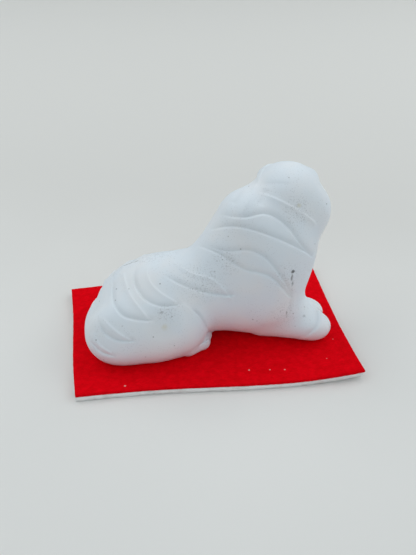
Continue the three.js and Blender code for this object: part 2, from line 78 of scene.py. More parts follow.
def rope(points, radii):
    # a round rope through a row of points, as thick at each as its radius
    def away(places):
        least = np.full(len(places), farAway)
        for i in range(len(points) - 1):
            gap, t = toPiece(places, points[i], points[i + 1])
            least = np.minimum(least, gap - (radii[i] + (radii[i + 1] - radii[i]) * t))
        return least

    return away


def limb(start, end, startRadius, endRadius):
    return rope([start, end], [startRadius, endRadius])


def blend(first, second, softness):
    # the lesser of two distances, rounded where they are nearly the same
    near = np.maximum(softness - np.abs(first - second), 0) / softness
    return np.minimum(first, second) - near * near * softness * 0.25


def joined(forms, places):
    # forms come as pairs with the softness of their joint to those before them
    least = np.full(len(places), farAway)
    for form, softness in forms:
        least = blend(least, form(places), softness)
    return least


# The tiger stands on z = 0 about the plane y = 0, with its head toward +X
tigerSizes = {
    "haunchSpread": 12.2, "haunchHeight": 25, "chestWidth": 28, "neckWidth": 28.5, "headWidth": 25,
    "cheekSpan": 31, "earHeight": 4, "pawWidth": 12.5, "pawHeight": 9.9,
    "headPlace": (28.5, 4.5, 49.6), "headTurn": 75, "headNod": -14, "neckSoftness": 4.5,
    "footSoftness": 0.6,  # of the edge round its flat underside
    "seat": 2.9,  # height of the felt that it lies on
}
seat = np.array([0, 0, tigerSizes["seat"]])
forepaws = [
    {"side": -1, "aside": -11.5, "reach": 36.5, "high": tigerSizes["pawHeight"]},
    {"side": 1, "aside": -0.4, "reach": 37, "high": tigerSizes["pawHeight"] * 0.74},
]
tail = {
    "thick": 7, "taper": 0.12, "root": -40.5, "forward": 36, "beyondHaunch": 8, "pieces": 14,
    "rings": (0.42, 0.55, 0.68, 0.8, 0.9), "ringRadius": 3.3, "ringFrom": -0.4, "ringTo": 2.6,
    "ringPoints": 14, "ringWide": 1.1, "ringDeep": 0.35,
}


def haunchForms(side, forward):
    high = tigerSizes["haunchHeight"] / 2
    hip = (-24.3 + forward, side * tigerSizes["haunchSpread"], high - 1.5)
    return [
        (egg(hip, (20.2 - forward, 8.5, high), (side * 8, 4, side * 4)), 6),
        (egg((hip[0] - 9, side * 8.5, 6.5), (11, 10.5, 9)), 4),  # back of the haunch
        (egg((hip[0] + 10, side * 11.3, 10), (11.3, 7, 12), (0, 8, side * 12)), 1.8),  # thigh
        (limb((hip[0] + 15, side * 14.4, 2.7), (-4, side * 11.6, 2.6), 2.9, 2.8), 0.7),  # foot
        (limb((-4, side * 11.6, 2.6), (-1.9, side * 7.6, 2.5), 2.8, 2.2), 0.8),  # its toes
    ]


def forelegForms(side, aside, reach, high):
    pawHalf = (7.2, tigerSizes["pawWidth"] / 2, high / 2 + 0.3)
    return [
        (egg((18, side * 7, 19), (12, 6.8, 15), (0, 10, 0)), 6),  # shoulder
        (limb((20, side * 6.8, 5.4), (reach - 5, aside, 5), 5.4, 4.6), 3),  # forearm
        (egg((reach, aside, high / 2), pawHalf, (0, 8, 0)), 1.8),
    ]


def tailPoint(t):
    # the tail leaves the rump low down and lies round the left haunch
    farthest = tigerSizes["haunchSpread"] + tail["beyondHaunch"]
    ahead, aside = tail["root"] + tail["forward"] * t ** 2.2, farthest * math.sin(1.9 * t ** 0.75 + 0.15)
    return (ahead, aside, tail["thick"] / 2)


def tailForms():
    spots = [i / tail["pieces"] for i in range(tail["pieces"] + 1)]
    radii = [tail["thick"] / 2 * (1 - tail["taper"] * t) for t in spots]
    return [
        (egg((-28.7, -1, 10.5), (11.6, 11, 11)), 5),  # rump over the tail
        (egg((-39, -2.5, 7.2), (5.7, 8.5, 7.8)), 4),  # root of the tail
        (rope([tailPoint(t) for t in spots], radii), 1.5),
    ]


def headForms():
    # in the head's own frame, looking along +X
    ear, width = tigerSizes["earHeight"], tigerSizes["headWidth"]
    cheekAside = tigerSizes["cheekSpan"] / 2 - 5.8
    forms = [
        (egg((0, 0, 0.5), (12, width / 2, 12)), 1),  # skull
        (egg((4.5, 0, 4), (8, 9, 6.5)), 4),  # forehead
        (egg((10.5, 0, -4.8), (7, 6.6, 5.8)), 3),  # muzzle
        (limb((7, 0, 4.5), (14.8, 0, -1.8), 3.8, 2.6), 2.5),  # bridge of the nose
        (egg((12.6, 0, -9.6), (3.7, 3.5, 2.6)), 1.5),  # chin
    ]
    for side in (-1, 1):
        forms += [
            (egg((-0.5, side * cheekAside, -4.5), (6.5, 5.8, 7.8), (side * -10, 0, 0)), 4),  # cheek
            (egg((14.2, side * 3.1, -5.8), (3.9, 3.7, 3.6)), 1.2),  # whisker pad
            (egg((8.9, side * 5, 4), (3, 3.9, 2), (side * 15, 0, side * -20)), 1.5),  # brow
            (egg((10, side * 4.9, 1), (2, 2.3, 1.8)), 0.5),  # eye
            (egg((4.4, side * 6.9, 9.9 - ear), (2.2, 3.6, ear), (side * -24, 0, 0)), 1.6),  # ear
        ]
    return forms + [(egg((16.6, 0, -2.4), (1.8, 2.6, 1.7)), 0.8)]  # tip of the nose


bodyForms = [
    (egg((-19.8, -1, 14.5), (19.5, 15.5, 17), (0, -10, 0)), 1),  # rump
    (egg((-6, 0, 17), (20, 12, 14.5)), 9),  # belly
    (egg((15.5, 0, 19), (20.5, tigerSizes["chestWidth"] / 2, 20)), 9),  # chest
    (egg((22, 0.5, 36), (17.5, tigerSizes["neckWidth"] / 2, 17), (0, -20, 0)), 11),  # neck
    (limb((0, 0, 22), (13, 0.5, 45), 8.5, 9.5), 7),  # back of the neck
    (egg((13.2, 0.5, 47.2), (5.5, 7, 6.5)), 5),  # nape
    (limb((25, 0.5, 13), (36, -1, 4.6), 8.6, 4.2), 4),  # breast between the forelegs
    (limb((22, -5, 14), (35.5, -9.8, 5.2), 9.5, 4.8), 4),  # upper right foreleg
]
bodyForms += haunchForms(-1, 0) + haunchForms(1, 3.4)
for paw in forepaws:
    bodyForms += forelegForms(**paw)
bodyForms += tailForms()
faceForms = headForms()
# the head's own directions as columns: ahead, to its left, up
headAxes = turnMatrix(0, 0, tigerSizes["headTurn"]) @ turnMatrix(0, -tigerSizes["headNod"], 0)


def figure(places):
    inHead = (places - np.array(tigerSizes["headPlace"])) @ headAxes
    whole = blend(joined(bodyForms, places), joined(faceForms, inHead), tigerSizes["neckSoftness"])
    return -blend(-whole, places[:, 2], tigerSizes["footSoftness"])


# how places are brought onto the figure
tracing = {
    "slopeStep": 0.02, "longestPush": 0.5, "falls": 110, "fallShare": 0.7, "shortestFall": 0.03,
    "deepestFall": 150, "touching": 0.015, "landed": 0.05,
}


def slopeOf(places, value):
    step = tracing["slopeStep"]
    parts = [figure(places + way * step) - value for way in np.eye(3)]
    return np.stack(parts, axis=1) / step


def drawnOn(places, rounds):
    # draws places onto the figure's surface along its slope
    for _ in range(rounds):
        value = figure(places)
        slope = slopeOf(places, value)
        most = tracing["longestPush"]
        push = np.clip(value, -most, most) / np.maximum((slope ** 2).sum(1), 1e-6)
        places = places - slope * push[:, None]
    return places


def dropped(places, toward):
    # lets places fall along one direction onto the figure; those that miss it are left out
    places, fallen = places.copy(), np.zeros(len(places))
    for _ in range(tracing["falls"]):
        gap = figure(places)
        live = (gap > tracing["touching"]) & (fallen < tracing["deepestFall"])
        if not live.any():
            break
        step = np.maximum(tracing["shortestFall"], gap * tracing["fallShare"]) * live
        places += np.array(toward) * step[:, None]
        fallen += step
    return places[(figure(places) <= tracing["landed"]) & (fallen < tracing["deepestFall"])]


# The carving is drawn on a sheet that leans over the tiger: millimetres to the right and up
sheetLean, sheetTurn, sheetAway = math.radians(35), math.radians(9.5), 70
sheetRight = np.array([math.cos(sheetTurn), -math.sin(sheetTurn), 0])
sheetUp = np.array([
    math.sin(sheetTurn) * math.sin(sheetLean), math.cos(sheetTurn) * math.sin(sheetLean), math.cos(sheetLean),
])
sheetOut = np.cross(sheetRight, sheetUp)

# Lines of the stripes from the back to the tip. A valley falls slowly on its upper side and rises
# fast on its lower side; a crest rises fast on its upper side and falls slowly on its lower side.
valleys = [
    [(4.1, 39.5), (11.8, 38.1), (19.5, 39.4), (26.3, 35.4), (32, 28.8), (35.9, 25.7)],
    [(0.3, 34.7), (9.1, 35.2), (20.6, 32.2), (35.9, 25.9)],
    [(-2, 29.6), (5.8, 27.1), (14.1, 27.2), (20.9, 23.5), (29.2, 12.5)],
    [(-3.5, 29.5), (3.6, 26.3), (12.3, 21.1), (21.1, 18.5), (28.9, 11.5)],
    [(-14.2, 18.9), (-7.7, 15.5), (0.3, 13), (7.7, 12)],
    [(-24.6, 22.3), (-25, 17), (-21.6, 11.5), (-16, 8.8), (-10.7, 8.9)],
    [(-32.8, 18.2), (-32.4, 11), (-28.9, 5.9), (-24.6, 4.3), (-19.9, 3.8)],
    [(-37.1, 4.1), (-34.8, -0.4), (-30.7, -2.9), (-26.2, -3.3)],
    [(-40.4, -3.5), (-36.8, -7.3), (-33.1, -8.5)],
]
crests = [
    [(16.7, 47), (24, 43.7), (31.9, 39.6), (36, 37.1)],
    [(-13.6, 24.9), (-6, 20.1), (2, 17.4), (7.4, 11.9)],
    [(-21, 22.8), (-20, 17.7), (-16.6, 13.7), (-10.7, 9.9)],
    [(-29.3, 20.5), (-26.2, 12.6), (-19.8, 4.4)],
    [(-35.6, 4.7), (-31.2, 0.6), (-26.2, -2.9)],
    [(-39.2, 0.4), (-37, -4.2), (-33, -7.3)],
]
# folds and ridges on the same sheet: points, height (below 0 is cut in), width above and below, flanks
folds = {
    "knee": ([(-6, 8.4), (-2.9, 5.8), (-0.6, 2.5), (0.3, -0.5)], -0.5, 0.8, 1.5, (1, -1)),
    "thigh": ([(-8.8, 9.3), (-5.4, 7), (-2.9, 3.8), (-1.2, -0.2)], 0.35, 1.4, 4, (1, -1)),
    "foot": ([(-5.6, -7.3), (-3, -5.7), (-0.6, -4.3), (0.9, -2.8)], -0.4, 0.5, 0.5, (1, -1)),
    "paw": (
        [(40, 8.4), (39.8, 5.8), (39.4, 3.1), (38.2, 0.1), (36.4, -1.9), (34.4, -3.5)], -0.4, 0.9, 2.6, (1,),
    ),
    "toe": ([(41.2, 6), (40.9, 3.4), (39.9, 0.6), (37.8, -1.9)], 0.25, 2.4, 1.2, (1,)),
    "breast": ([(28.8, 19), (29.1, 14), (29, 9), (28.8, 4)], -0.25, 1.8, 1.8, (1,)),
    "nape": ([(17.4, 49.9), (21.4, 49.9), (24.6, 49.6), (27.8, 49.3)], -0.14, 1.6, 2.6, (1,)),
    "spine": ([(16.5, 50.2), (15.3, 47.3), (13.5, 43.7), (11.5, 39.1)], 0.5, 3, 3, (1,)),
    "shoulder": ([(11.6, 48.2), (9.9, 45.2), (8.3, 42.6)], -0.3, 3, 3, (1,)),
    "mane": ([(19.4, 48.2), (18.2, 44.8), (17, 42.2)], -0.25, 2.6, 2.6, (1,)),
}
carving = {
    "valleyDeep": 0.52, "crestHigh": 0.3, "slowSide": 2.5, "fastSide": 0.75, "stripePoints": 30,
    "foldPoints": 18, "fadeShare": 0.25, "fadeTip": 0.3, "bottomRound": 0.11,
    "toeWide": 1.0, "toeDeep": 0.3, "toeGaps": (-3.1, 0, 3.1), "toePoints": 14,
    "toeAngles": (0, 10, 20, 30), "toeAhead": 12, "toeClimb": 10, "toeFrom": 0.2,
    "faceWide": 0.75, "faceDeep": 0.35, "facePoints": 16,
}


def fromSheet(flat, side=1):
    # side 1 is the flank on the sheet's side, -1 the other one
    flat, flip = np.array(flat, float), np.array([1, side, 1])
    places = flat[:, :1] * sheetRight + flat[:, 1:] * sheetUp + sheetOut * sheetAway
    return dropped(places * flip, -sheetOut * flip)


def throughPoints(points, count):
    # a smooth open line through a few points
    points = np.array(points, float)
    last = len(points) - 1
    result = []
    for spot in np.linspace(0, last, count):
        i = min(int(spot), last - 1)
        t = spot - i
        p0, p1 = points[max(i - 1, 0)], points[i]
        p2, p3 = points[i + 1], points[min(i + 2, last)]
        bend, twist = 2 * p0 - 5 * p1 + 4 * p2 - p3, 3 * p1 - p0 - 3 * p2 + p3
        result.append(0.5 * (2 * p1 + (p2 - p0) * t + bend * t ** 2 + twist * t ** 3))
    return np.array(result)


carvedLines = []


def carve(points, high, above, below, side=1, fades=(True, False)):
    # keeps a line with its height, its width above and below, and whether each end fades
    if len(points) > 2:
        line = {"points": points * [1, side, 1], "high": high, "above": above, "below": below}
        carvedLines.append({**line, "side": side, "fades": fades})


def cut(points, wide, deep, fades):
    carve(points, -deep, wide / 2, wide / 2, 1, fades)


slowSide, fastSide = carving["slowSide"], carving["fastSide"]
for side in (1, -1):
    for line in valleys:
        found = fromSheet(throughPoints(line, carving["stripePoints"]), side)
        carve(found, -carving["valleyDeep"], slowSide, fastSide, side)
    for line in crests:
        found = fromSheet(throughPoints(line, carving["stripePoints"]), side)
        carve(found, carving["crestHigh"], fastSide, slowSide, side)
for points, high, above, below, sides in folds.values():
    for side in sides:
        found = fromSheet(throughPoints(points, carving["foldPoints"]), side)
        carve(found, high, above, below, side, (True, True))

# lines of the face, to the left and up in the head's frame: points, width and depth as shares of
# the usual ones, whether each end fades
faceLines = [
    ([(0, -4.2), (0, -5.6), (0, -7.2)], 1.2, 1.4, (False, False)),  # nose to lips
    ([(-1.3, 8.1), (0, 8.6), (1.3, 8.1)], 1.2, 1, (True, True)),  # forehead
    ([(-1.3, 5.9), (0, 6.4), (1.3, 5.9)], 1.2, 1, (True, True)),
]
pairedLines = [
    ([(0, -7.2), (1.6, -8.6), (3.6, -8.9), (5.6, -7.6)], 1.1, 1.5, (False, True)),  # lips
    ([(2.3, 1.3), (3.6, 2.6), (5.2, 2.9), (7.2, 1.8)], 1, 1.2, (True, True)),  # upper lid
    ([(2.6, 0.4), (4, -0.9), (5.6, -0.8), (7, 0.9)], 1, 1, (True, True)),  # lower lid
    ([(1.4, 7.2), (3.4, 8), (5.2, 7.4)], 1.2, 1, (True, True)),  # forehead
    ([(1.6, 9.3), (3.2, 9.8), (4.8, 9.4)], 1.2, 1, (True, True)),
]
for high in (0.5, -3, -6.5):
    cheek = [(14.4, high + 0.6), (12.2, high), (9.6, high - 0.8)]
    pairedLines.append((cheek, 1.5, 1.2, (True, False)))
for points, wide, deep, fades in pairedLines:
    faceLines += [([(side * y, z) for y, z in points], wide, deep, fades) for side in (1, -1)]


faceAway = 30  # where spots start before they are dropped onto the face


def onFace(spots):
    # spots to the left and up in the head's frame, dropped straight back onto the face
    ahead = np.array([(faceAway, y, z) for y, z in spots])
    return dropped(ahead @ headAxes.T + np.array(tigerSizes["headPlace"]), -headAxes[:, 0])


for points, wide, deep, fades in faceLines:
    found = onFace(throughPoints(points, carving["facePoints"]))
    cut(found, carving["faceWide"] * wide, carving["faceDeep"] * deep, fades)

# toes: short cuts down the front of every forepaw, from arcs in front of it
for paw in forepaws:
    for gap in carving["toeGaps"]:
        aside, low = paw["aside"] + gap, carving["toeFrom"] * paw["high"]
        line = []
        for angle in carving["toeAngles"]:
            a = math.radians(angle)
            ahead = paw["reach"] + carving["toeAhead"] * math.cos(a)
            line.append((ahead, aside, low + carving["toeClimb"] * math.sin(a)))
        found = dropped(throughPoints(line, carving["toePoints"]), [-1.0, 0, 0])
        cut(found, carving["toeWide"], carving["toeDeep"], (False, True))

# rings round the tail
up = np.array([0, 0, 1])
for t in tail["rings"]:
    centre, ahead = np.array(tailPoint(t)), np.array(tailPoint(t + 0.02)) - np.array(tailPoint(t))
    aside = np.cross(up, ahead / np.linalg.norm(ahead))
    turns = np.linspace(tail["ringFrom"], tail["ringTo"], tail["ringPoints"])
    ring = [centre + tail["ringRadius"] * (-math.cos(a) * aside + math.sin(a) * up) for a in turns]
    cut(drawnOn(np.array(ring), 3), tail["ringWide"], tail["ringDeep"], (True, True))

# pits on each side of the face: place to the left and up, radius, depth
pits = [((4.7, 1.1), 0.75, 0.45), ((1.25, -2.9), 0.6, 0.4), ((7.2, 7.3), 1.7, 0.7)]  # pupil, nostril, ear
pits += [(spot, 0.4, 0.22) for spot in ((3.2, -5), (4.6, -4.6), (3.6, -6.6), (5, -6.2))]  # whisker roots
# dents and small knobs of the near flank on the sheet: place, radius, depth (below 0 stands out)
dents = [
    ((-14.4, 3.3), 7, 0.45), ((-20.2, 25.4), 1.5, -0.4), ((-17.8, 26), 1.4, -0.35),
    ((-15.2, 26.7), 1.7, -0.4), ((-12.4, 27.2), 1.5, -0.3), ((-22.6, 24.4), 1.5, -0.3),
]
hollows = []
for (y, z), radius, deep in pits:
    hollows += [(place, radius, deep) for side in (1, -1) for place in onFace([(side * y, z)])]
for flat, radius, deep in dents:
    hollows += [(place, radius, deep) for place in fromSheet([flat])]
print("carving laid out:", len(carvedLines), "lines,", len(hollows), "pits")


def carvedAt(places, reach=0.0):
    # how far the nearest carved line's edge is, and the height of the carving there
    nearest = np.full(len(places), farAway)
    low, high = np.zeros(len(places)), np.zeros(len(places))
    for line in carvedLines:
        points, seen = line["points"], places * [1, line["side"], 1]
        wide = max(line["above"], line["below"]) + reach
        inside = np.flatnonzero(((seen > points.min(0) - wide) & (seen < points.max(0) + wide)).all(1))
        if len(inside) == 0:
            continue
        seen, best = seen[inside], np.full(len(inside), farAway)
        where, signed = np.zeros(len(inside)), np.zeros(len(inside))
        for i in range(len(points) - 1):
            gap, t = toPiece(seen, points[i], points[i + 1])
            closer = gap < best
            wayUp = np.cross(sheetOut, points[i + 1] - points[i])
            best[closer], where[closer] = gap[closer], i + t[closer]
            signed[closer] = (seen[closer] - points[i]) @ wayUp
        span, fade = len(points) - 1, np.ones(len(inside))
        for fades, fromEnd in zip(line["fades"], (where, span - where)):
            if fades:
                fade *= np.clip((fromEnd + carving["fadeTip"]) / (carving["fadeShare"] * span), 0, 1)
        share = best / np.where(signed > 0, line["above"], line["below"])
        rounded = np.sqrt(share ** 2 + carving["bottomRound"] ** 2) - carving["bottomRound"]
        height = line["high"] * fade * np.clip(1 - rounded, 0, 1) ** 2
        low[inside] = np.minimum(low[inside], height)
        high[inside] = np.maximum(high[inside], height)
        nearest[inside] = np.minimum(nearest[inside], best - min(line["above"], line["below"]))
    return nearest, low + high


def pitDepth(places):
    depth = np.zeros(len(places))
    for centre, radius, deep in hollows:
        gap = np.linalg.norm(places - centre, axis=1) / radius
        depth += deep * np.clip(1 - gap ** 2, 0, 1) ** 1.3
    return depth


def waver(places, high, size, seed, waves=9):
    # soft unevenness from a few sine waves of fixed directions
    draw = np.random.default_rng(seed)
    total = np.zeros(len(places))
    for _ in range(waves):
        way = draw.normal(size=3)
        way /= np.linalg.norm(way)
        turns = 2 * math.pi / (size * draw.uniform(0.7, 1.5))
        total += np.sin(places @ way * turns + draw.uniform(0, 2 * math.pi))
    return high * total / waves


# Meshes
def newPiece(name, mesh):
    piece = bpy.data.objects.new(name, mesh)
    scene.collection.objects.link(piece)
    return piece


def baked(piece):
    # the piece's mesh with its modifiers worked in
    graph = bpy.context.evaluated_depsgraph_get()
    mesh = bpy.data.meshes.new_from_object(piece.evaluated_get(graph))
    name, old = piece.name, piece.data
    bpy.data.objects.remove(piece)
    bpy.data.meshes.remove(old)
    mesh.name = name
    return newPiece(name, mesh)


def mergedCopy(node, name):
    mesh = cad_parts[node].data.copy()
    mesh.name = name
    work = bmesh.new()
    work.from_mesh(mesh)
    bmesh.ops.remove_doubles(work, verts=work.verts, dist=1e-6)
    work.to_mesh(mesh)
    work.free()
    mesh.materials.clear()
    return newPiece(name, mesh)


tigerMesh = {
    "voxel": 0.9, "halvedWithin": (0.6, -0.2),  # how far from a line's narrow side faces are halved
    "broadPit": 3,  # pits from this radius on don't need finer faces
    "unevenness": (0.06, 9, 5),  # height, size, seed
    "footFade": 0.6, "fullHollow": 0.4,
}


def placesOf(work):
    return np.array([vert.co[:] for vert in work.verts]) / millimetre - seat


def moveVerts(work, places):
    # none goes below the tiger's flat underside
    places[:, 2] = np.maximum(places[:, 2], 0)
    for vert, place in zip(work.verts, (places + seat) * millimetre):
        vert.co = place


def splitNear(work, within):
    # halves the edges of the faces near a carved line or a small pit
    work.verts.index_update()
    work.edges.index_update()
    places = placesOf(work)
    near = carvedAt(places, within)[0] < within
    for centre, radius, _ in hollows:
        if radius < tigerMesh["broadPit"]:
            near |= np.linalg.norm(places - centre, axis=1) < radius + within
    edges = set()
    for face in work.faces:
        if any(near[vert.index] for vert in face.verts):
            edges.update(face.edges)
    edges = sorted(edges, key=lambda edge: edge.index)
    bmesh.ops.subdivide_edges(work, edges=edges, cuts=1, use_grid_fill=True)


def tigerFigure():
    # the solid's own skin is made even, drawn onto the smooth forms and then moved by the carving
    piece = mergedCopy("tiger", "tigerFigure")
    remesh = piece.modifiers.new("even", "REMESH")
    remesh.mode, remesh.voxel_size = "VOXEL", tigerMesh["voxel"] * millimetre
    piece = baked(piece)
    work = bmesh.new()
    work.from_mesh(piece.data)
    everyWay = {"use_axis_x": True, "use_axis_y": True, "use_axis_z": True}
    bmesh.ops.smooth_vert(work, verts=work.verts, factor=0.5, **everyWay)
    moveVerts(work, drawnOn(placesOf(work), 3))
    levels = tigerMesh["halvedWithin"]
    for within in levels:
        splitNear(work, within)
        moveVerts(work, drawnOn(placesOf(work), 2))
    places = placesOf(work)
    slope = slopeOf(places, figure(places))
    normals = slope / np.linalg.norm(slope, axis=1)[:, None]
    carvedHigh = carvedAt(places)[1] - pitDepth(places)
    rise = carvedHigh + waver(places, *tigerMesh["unevenness"])
    rise *= np.clip(places[:, 2] / tigerMesh["footFade"], 0, 1)
    moveVerts(work, places + normals * rise[:, None])
    mesh = piece.data
    work.to_mesh(mesh)
    work.free()
    # how deep each point lies in the carving, for the paint
    hollow = mesh.attributes.new("hollow", "FLOAT", "POINT")
    hollow.data.foreach_set("value", np.clip(-carvedHigh / tigerMesh["fullHollow"], 0, 1).astype(np.float32))
    triangles = sum(len(face.vertices) - 2 for face in mesh.polygons)
    print("tiger:", len(mesh.vertices), "points,", triangles, "triangles")
    return piece


tiger = tigerFigure()

# The mat: felt over a backing, both cut by hand. Corners and edges run round from the near left.
mat = {
    "length": 100.6, "depth": 66.2, "skew": 2.4, "bow": 1.2, "cornerLift": 1.3, "cornerReach": 26,
    "cellsAlong": 150, "cellsAcross": 100,
    # each corner's trim along X, and across in shares of the skew
    "cornerTrims": [(0.4, 1.75), (-0.6, -0.5), (0, 0.5), (0, -0.1)],
    # each edge's waves: share of the bow, half waves along the edge
    "edgeWaves": [[(0.5, 1), (-0.7, 2)], [(-0.5, 1)], [(0.2, 3)], [(-0.25, 2)]],
}
# what is uneven comes as height, size and seed
feltSlab = {
    "low": 1.85, "high": 2.85, "rows": 3, "edgeDown": 0.12, "edgeRound": 0.1,
    "shortNap": (0.05, 1.6, 21), "longNap": (0.06, 7, 22), "fineFray": (0.1, 1.1, 23), "wideFray": (0.12, 5, 24),
}
backingSlab = {
    "low": 0.0, "high": 1.8, "rows": 2, "edgeRound": 0.06, "wide": (0.16, 9, 31), "fine": (0.07, 2.2, 32),
    "drawnIn": 0.55, "drawnFrom": 0.6,  # the near edge draws back toward the right corner
}
cornerSigns = ((-1, -1), (1, -1), (1, 1), (-1, 1))
matCorners = [
    np.array([x * mat["length"] / 2 + trim, y * mat["depth"] / 2 + mat["skew"] * skewed])
    for (x, y), (trim, skewed) in zip(cornerSigns, mat["cornerTrims"])
]


def matEdge(side, t):
    start, end = matCorners[side], matCorners[(side + 1) % 4]
    along = (end - start) / np.linalg.norm(end - start)
    wander = sum(size * np.sin(waves * math.pi * t) for size, waves in mat["edgeWaves"][side])
    return start + np.outer(t, end - start) + np.outer(mat["bow"] * wander, [along[1], -along[0]])


def matPlace(s, t):
    # places on the mat from their shares along and across, between the four wandering edges
    near, far = matEdge(0, s), matEdge(2, 1 - s)
    right, left = matEdge(1, t), matEdge(3, 1 - t)
    s, t = s[:, None], t[:, None]
    shares = ((1 - s) * (1 - t), s * (1 - t), s * t, (1 - s) * t)
    corners = sum(share * corner for share, corner in zip(shares, matCorners))
    return (1 - t) * near + t * far + (1 - s) * left + s * right - corners


def cornerLift(flat):
    # the near right corner lifts off the floor a little
    near = np.clip(1 - np.linalg.norm(flat - matCorners[1], axis=1) / mat["cornerReach"], 0, 1)
    return mat["cornerLift"] * near ** 1.8


def outwardOf(flat):
    away = flat - flat.mean(0)
    return away / np.linalg.norm(away, axis=1)[:, None]


def feltShape(spots):
    flat, z, atTop = spots["flat"], spots["z"], spots["height"] > 0.9
    places = np.column_stack([flat, z])
    nap = waver(places, *feltSlab["shortNap"]) + waver(places, *feltSlab["longNap"])
    z = z + (nap - feltSlab["edgeDown"] * spots["edge"]) * atTop + cornerLift(flat)
    frayed = waver(places * [1, 1, 3], *feltSlab["fineFray"]) + waver(places, *feltSlab["wideFray"])
    frayed -= feltSlab["edgeRound"] * np.abs(spots["height"] * 2 - 1)
    return flat + outwardOf(flat) * (frayed * spots["edge"])[:, None], z


def backingShape(spots):
    flat, z = spots["flat"], spots["z"]
    places = np.column_stack([flat, z])
    uneven = waver(places, *backingSlab["wide"]) + waver(places, *backingSlab["fine"])
    uneven -= backingSlab["edgeRound"] * np.abs(spots["height"] * 2 - 1)
    start = backingSlab["drawnFrom"]
    toCorner = np.clip((spots["s"] - start) / (1 - start), 0, 1) * (spots["t"] < 0.5)
    uneven -= backingSlab["drawnIn"] * toCorner
    flat = flat + outwardOf(flat) * (uneven * spots["edge"])[:, None]
    return flat, z + cornerLift(flat)


def matPiece(name, slab, shape):
    # a grid swept up in rows, then every point is put in its place on the mat
    work = bmesh.new()
    bmesh.ops.create_grid(work, x_segments=mat["cellsAlong"], y_segments=mat["cellsAcross"], size=0.5)
    rim = list(work.faces)
    for row in range(slab["rows"]):
        grown = bmesh.ops.extrude_face_region(work, geom=rim, use_keep_orig=row == 0)["geom"]
        if row:
            bmesh.ops.delete(work, geom=rim, context="FACES")
        rim = [part for part in grown if isinstance(part, bmesh.types.BMFace)]
        lifted = list({vert for face in rim for vert in face.verts})
        bmesh.ops.translate(work, verts=lifted, vec=(0, 0, 1 / slab["rows"]))
    bmesh.ops.recalc_face_normals(work, faces=work.faces)
    s, t, height = (np.array([vert.co[:] for vert in work.verts]) + [0.5, 0.5, 0]).T
    edge = (np.minimum(np.minimum(s, 1 - s), np.minimum(t, 1 - t)) < 1e-5).astype(float)
    z = slab["low"] + (slab["high"] - slab["low"]) * height
    flat, z = shape({"flat": matPlace(s, t), "z": z, "s": s, "t": t, "height": height, "edge": edge})
    for vert, place in zip(work.verts, np.column_stack([flat, z]) * millimetre):
        vert.co = place
    mesh = bpy.data.meshes.new(name)
    work.to_mesh(mesh)
    work.free()
    print(name + ":", len(mesh.polygons), "faces")
    return newPiece(name, mesh)


felt = matPiece("matFelt", feltSlab, feltShape)
backing = matPiece("matBacking", backingSlab, backingShape)


# Materials: a socket that can be used in sums, a tree that makes nodes, and a material on it
class Wire:
    def __init__(self, nodes, socket):
        self.nodes, self.socket = nodes, socket

    def sum(self, operation, first, second):
        return self.nodes.add("Math", {"operation": operation}, {0: first, 1: second})

    def __add__(self, other):
        return self.sum("ADD", self, other)

    def __radd__(self, other):
        return self.sum("ADD", other, self)

    def __mul__(self, other):
        return self.sum("MULTIPLY", self, other)

    def __rmul__(self, other):
        return self.sum("MULTIPLY", other, self)

    def __rsub__(self, other):
        return self.sum("SUBTRACT", other, self)


class Nodes:
    def __init__(self, tree):
        self.tree = tree

    def feed(self, socket, value):
        if isinstance(value, Wire):
            self.tree.links.new(value.socket, socket)
        elif socket.type == "RGBA":
            socket.default_value = (*value, 1)
        else:
            socket.default_value = value

    def add(self, kind, settings, inputs, output=0):
        node = self.tree.nodes.new("ShaderNode" + kind)
        for name, value in settings.items():
            if name == "stops":
                ramp = node.color_ramp.elements
                for i, (position, colour) in enumerate(value):
                    stop = ramp[i] if i < len(ramp) else ramp.new(position)
                    stop.position, stop.color = position, (*colour, 1)
            else:
                setattr(node, name, value)
        for name, value in inputs.items():
            self.feed(node.inputs[name], value)
        return Wire(self, node.outputs[output])

    def strongest(self, layers):
        most = layers[0]
        for layer in layers[1:]:
            most = self.add("Math", {"operation": "MAXIMUM"}, {0: most, 1: layer})
        return most


